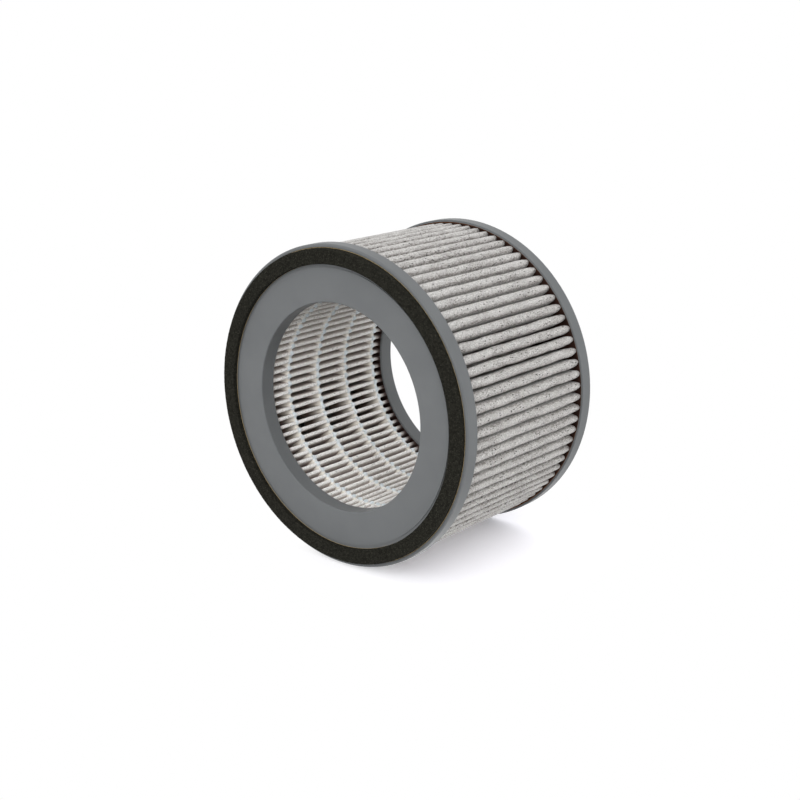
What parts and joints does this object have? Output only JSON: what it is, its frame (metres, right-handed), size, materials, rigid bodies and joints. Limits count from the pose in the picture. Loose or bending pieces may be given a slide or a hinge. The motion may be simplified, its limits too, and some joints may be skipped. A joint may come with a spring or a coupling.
{
  "type": "air purifier filter",
  "caption": "Round pleated air filter cartridge with moulded ring end caps, a foam gasket on one face and glue beads across the inner folds.",
  "frame": {"origin": "centre of the rear cap's flat face, which the filter stands on", "axes": "+Z along the axis of the filter, from the rear cap to the gasket; X and Y lie in the rear face"},
  "size_m": [0.205, 0.205, 0.1307],
  "materials": {
    "cap_plastic": "matt moulded",
    "potting_adhesive": "cured adhesive",
    "filter_media": "non-woven felt",
    "bead_glue": "waxy hot-melt",
    "adhesive_tape": "cut tape edge",
    "gasket_foam": "fine open foam"
  },
  "bodies": {
    "root": {"rear_end_cap": "cap_plastic", "front_end_cap": "cap_plastic", "rear_potting": "potting_adhesive", "front_potting": "potting_adhesive", "pleated_media": "filter_media", "glue_bead_1": "bead_glue", "glue_bead_2": "bead_glue", "glue_bead_3": "bead_glue", "glue_bead_4": "bead_glue", "gasket_tape": "adhesive_tape", "foam_gasket": "gasket_foam"}
  },
  "joints": []
}
